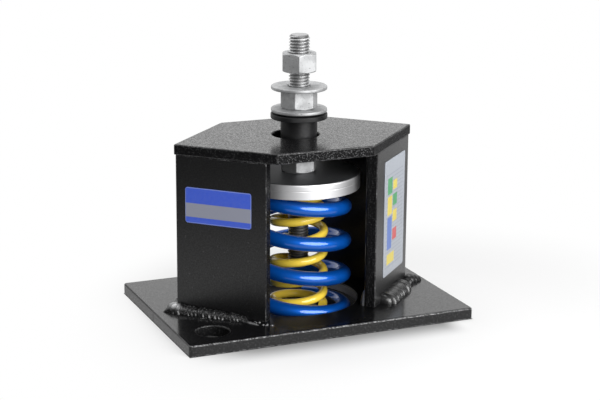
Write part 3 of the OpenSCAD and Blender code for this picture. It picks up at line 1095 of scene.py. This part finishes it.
class ISOLATOR_OT_stage(bpy.types.Operator):
    """Sets the floor, the studio light, the white background and the camera"""

    bl_idname = "isolator.stage"
    bl_label = "Set the stage"

    def execute(self, context):
        scene = context.scene
        self.floor(scene.isolator_colours)
        self.world(scene)
        self.lamp("key_box", (0.295, -0.935, 0.436), (1.2, 0.85), 21.5)
        self.lamp("top_box", (0.0, 0.25, 1.1), (1.2, 0.9), 7)
        self.camera(scene)
        scene.view_settings.view_transform = "Standard"
        return {"FINISHED"}

    def rays(self, finish):
        """1 for rays that show the background straight or bent, and 1 for rays that mirror it."""
        path = finish.node("ShaderNodeLightPath").socket.node
        names = ("Is Camera Ray", "Is Glossy Ray", "Is Transmission Ray")
        straight, mirrored, bent = [Wire(finish, path.outputs[name]) for name in names]
        seen = finish.node("ShaderNodeMath", {"operation": "MAXIMUM"}, {0: straight, 1: bent})
        return seen, mirrored * (1 - seen)

    def painted_front_shadow(self, finish, x, y):
        """A painted shadow: a soft dark band on the floor along the front of the base plate."""
        start = finish.mask(x, BASE_LOW.x - 10 * MM, BASE_LOW.x + 40 * MM)
        end = 1 - finish.mask(x, BASE_HIGH.x - 22 * MM, BASE_HIGH.x - 8 * MM)
        band = 23 * MM
        fade = (1 - finish.mask(BASE_LOW.y - y, 0, band)) * (y < BASE_LOW.y)
        return fade * start * end * 0.72

    def floor(self, colours):
        """A pale floor that fades to plain white away from the object and keeps its shadow; a painted
        shadow lies along the front of the base plate and painted shade under it.
        """
        deselect()
        bpy.ops.mesh.primitive_circle_add(vertices=64, radius=6, fill_type="NGON")
        piece = name_new("floor")
        finish = new_finish("pale_floor")
        finish.owner.cycles.emission_sampling = "NONE"
        x, y, _ = finish.axes()
        from_shadow = radius_at(x - 60 * MM, y + 40 * MM)
        shadow_to, white_from = 80 * MM, 210 * MM
        open_floor = 1 - between(x, BASE_LOW.x, BASE_HIGH.x) * between(y, BASE_LOW.y, BASE_HIGH.y)
        painted_front_shadow = self.painted_front_shadow(finish, x, y)
        white = 0.2 + finish.mask(from_shadow, shadow_to, white_from) * 0.8
        # painted shadow: the white glow gives way in the band before the base plate and all but goes under
        # it
        white = white * (0.02 + open_floor * 0.98) * (1 - painted_front_shadow)
        grain = finish.noise(300, 2) * 0.02
        tone = finish.mix(grain, colours.floor, (0.7, 0.7, 0.7))
        # painted shade: the floor's colour darkens under the base plate and in the painted shadow before it
        tone = finish.mix(1 - (1 - painted_front_shadow) * open_floor, tone, (0.1, 0.1, 0.1))
        finish.set(Base_Color=tone, Roughness=0.9, Specular_IOR_Level=0.0)
        surface = Wire(finish, finish.shader.outputs[0])
        glow = finish.node("ShaderNodeEmission", None, {"Color": (1, 1, 1), "Strength": 1.0})
        near_to, far_from = 160 * MM, 400 * MM
        near = 1 - finish.mask(radius_at(x, y), near_to, far_from)
        behind = finish.mask(y, 0.0, 200 * MM)
        lit = finish.node("ShaderNodeMath", {"operation": "MAXIMUM"}, {0: near, 1: behind})
        mirror_tone = finish.mix(lit * open_floor, (0.03, 0.03, 0.03), (0.85, 0.85, 0.85))
        mirror = finish.node("ShaderNodeEmission", None, {"Color": mirror_tone, "Strength": 1.0})
        seen, mirrored = self.rays(finish)
        mixed = finish.node("ShaderNodeMixShader", None, {0: white * seen, 1: surface, 2: glow})
        mixed = finish.node("ShaderNodeMixShader", None, {0: mirrored, 1: mixed, 2: mirror})
        finish.plug(finish.tree.nodes["Material Output"].inputs["Surface"], mixed)
        piece.data.materials.append(finish.owner)

    def world(self, scene):
        """White background; mirrored rays see white behind the object and little in front of it."""
        scene.world = bpy.data.worlds.new("studio")
        scene.world.cycles.sampling_method = "NONE"
        finish = Finish(scene.world)
        back = finish.tree.nodes["Background"]
        toward = finish.node("ShaderNodeTexCoord", output="Generated")
        split = finish.node("ShaderNodeSeparateXYZ", None, {0: toward}).socket.node
        behind = finish.mask(Wire(finish, split.outputs["Y"]), -0.15, 0.2)
        seen, mirrored = self.rays(finish)
        strength = 0.05 + seen * 0.95 + mirrored * (behind * 0.91 - 0.01)
        finish.plug(back.inputs["Color"], (1, 1, 1))
        finish.plug(back.inputs["Strength"], strength)

    def lamp(self, name, place, size, power):
        """A soft box that points at the middle of the object."""
        bpy.ops.object.light_add(type="AREA", location=place)
        lamp = bpy.context.active_object
        lamp.name = name
        lamp.data.shape = "ELLIPSE"
        lamp.data.size, lamp.data.size_y = size
        lamp.data.energy = power
        aim = Vector((0, 0, 0.06)) - Vector(place)
        lamp.rotation_euler = aim.to_track_quat("-Z", "Y").to_euler()
        lamp.visible_camera = False

    def camera(self, scene):
        """The photograph's viewpoint."""
        bpy.ops.object.camera_add()
        camera = bpy.context.active_object
        camera.name = "camera"
        right = Vector((0.91995877, -0.39195604, 0.00680625))
        up = Vector((0.09469541, 0.23904034, 0.96638113))
        back = Vector((-0.38040589, -0.88838628, 0.25702369))
        camera.matrix_world = Matrix.Translation((-0.35506, -0.83639, 0.30604)) @ Matrix(
            (right, up, back)
        ).transposed().to_4x4()
        camera.data.sensor_width = 36
        camera.data.lens = 97.66
        scene.camera = camera


OPERATORS = [
    ISOLATOR_OT_housing,
    ISOLATOR_OT_welds,
    ISOLATOR_OT_labels,
    ISOLATOR_OT_springs,
    ISOLATOR_OT_stud,
    ISOLATOR_OT_nuts,
    ISOLATOR_OT_turned,
    ISOLATOR_OT_stage,
]


class ISOLATOR_PT_panel(bpy.types.Panel):
    """Lists the isolator's operators and its sizes and colours"""

    bl_label = "Isolator"
    bl_space_type = "VIEW_3D"
    bl_region_type = "UI"
    bl_category = "Isolator"

    def draw(self, context):
        for operator in OPERATORS:
            self.layout.operator(operator.bl_idname)
        for settings in settings_of(context):
            for key in settings.__annotations__:
                self.layout.prop(settings, key)


CLASSES = [IsolatorSizes, IsolatorColours, *OPERATORS, ISOLATOR_PT_panel]


def register():
    for entry in CLASSES:
        bpy.utils.register_class(entry)
    bpy.types.Scene.isolator_sizes = bpy.props.PointerProperty(type=IsolatorSizes)
    bpy.types.Scene.isolator_colours = bpy.props.PointerProperty(type=IsolatorColours)


def unregister():
    del bpy.types.Scene.isolator_colours
    del bpy.types.Scene.isolator_sizes
    for entry in reversed(CLASSES):
        bpy.utils.unregister_class(entry)


def main():
    register()
    bpy.ops.isolator.housing()
    bpy.ops.isolator.welds()
    bpy.ops.isolator.labels()
    bpy.ops.isolator.springs()
    bpy.ops.isolator.stud()
    bpy.ops.isolator.nuts()
    bpy.ops.isolator.turned()
    bpy.ops.isolator.stage()


if __name__ == "__main__":
    main()
